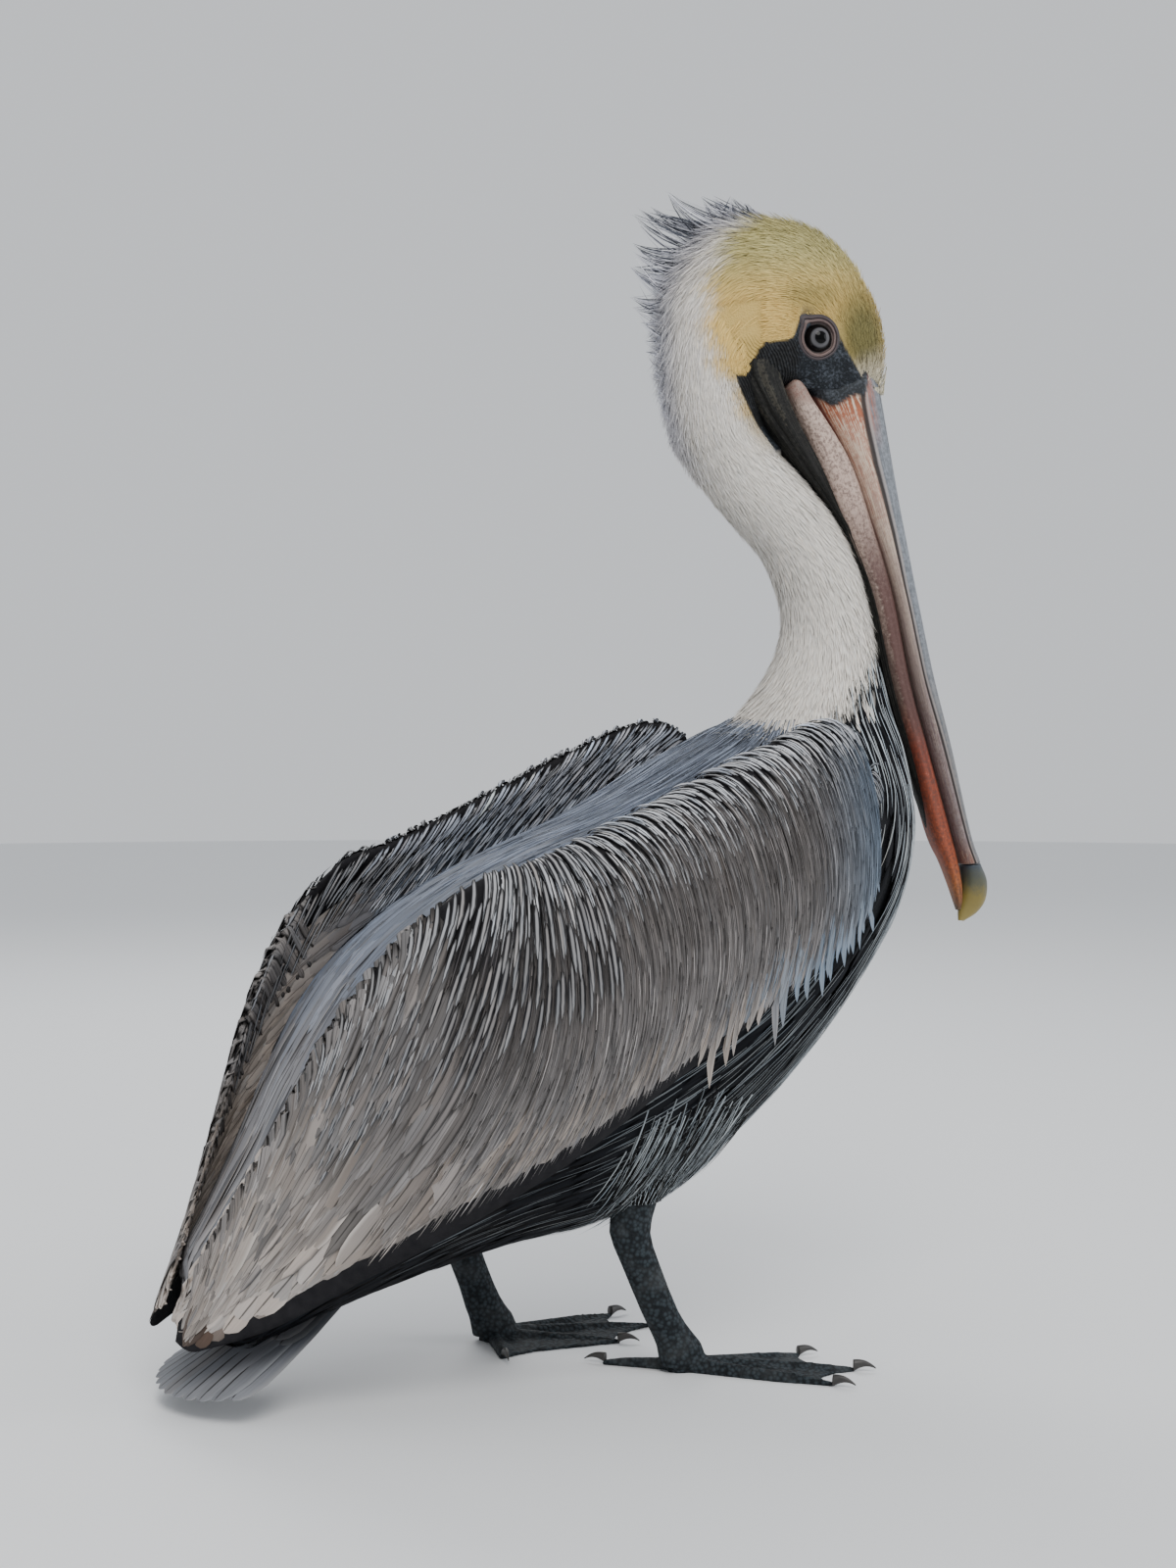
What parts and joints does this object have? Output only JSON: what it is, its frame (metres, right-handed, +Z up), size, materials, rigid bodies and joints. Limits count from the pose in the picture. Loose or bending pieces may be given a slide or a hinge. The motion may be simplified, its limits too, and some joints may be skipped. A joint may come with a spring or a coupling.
{
  "type": "brown pelican, life-size still model",
  "caption": "Brown pelican standing at rest with wings folded, head turned a little and bill down on its breast: a still, life-size museum model with no moving parts.",
  "frame": {"origin": "on the floor, under the middle of the bird's box", "axes": "+X the way the body faces, +Y to the bird's left, +Z up"},
  "size_m": [0.5015, 0.2603, 0.6609],
  "materials": {
    "breast_feathers": "soft black-brown feathers with fine white streaks",
    "neck_feathers": "short, soft, cream-white feathers",
    "head_feathers": "short yellow feathers, paler behind",
    "crest_feathers": "thin grey pointed feathers",
    "covert_feathers": "silver-grey pointed feathers with dark edges",
    "flight_feathers": "broad beige-grey feathers with dark shafts",
    "tip_feathers": "dark brown feather tips",
    "tail_feathers": "stiff grey feathers",
    "bill_horn": "mottled pink-grey horn, satin",
    "bill_lower_horn": "grey-pink horn that turns orange-red, satin",
    "nail_horn": "olive-yellow horn, semi-gloss",
    "pouch_skin": "dark, finely folded skin",
    "eye": "clear, wet gloss",
    "leg_skin": "dark scaly skin",
    "claw": "dark horn"
  },
  "bodies": {
    "root": {"bill_lower": "bill_lower_horn", "bill_nail": "nail_horn", "bill_upper": "bill_horn", "claw_hind_left": "claw", "claw_hind_right": "claw", "claw_inner_left": "claw", "claw_inner_right": "claw", "claw_middle_left": "claw", "claw_middle_right": "claw", "claw_outer_left": "claw", "claw_outer_right": "claw", "crest": "crest_feathers", "eye_left": "eye", "eye_right": "eye", "foot_left": "leg_skin", "foot_right": "leg_skin", "head": "head_feathers", "leg_left": "leg_skin", "leg_right": "leg_skin", "neck_lower": "neck_feathers", "neck_upper": "neck_feathers", "pouch": "pouch_skin", "tail": "tail_feathers", "thigh_left": "breast_feathers", "thigh_right": "breast_feathers", "trunk": "breast_feathers", "wing_arm_left": "covert_feathers", "wing_arm_right": "covert_feathers", "wing_flight_left": "flight_feathers", "wing_flight_right": "flight_feathers", "wing_tip_left": "tip_feathers", "wing_tip_right": "tip_feathers"}
  },
  "joints": []
}
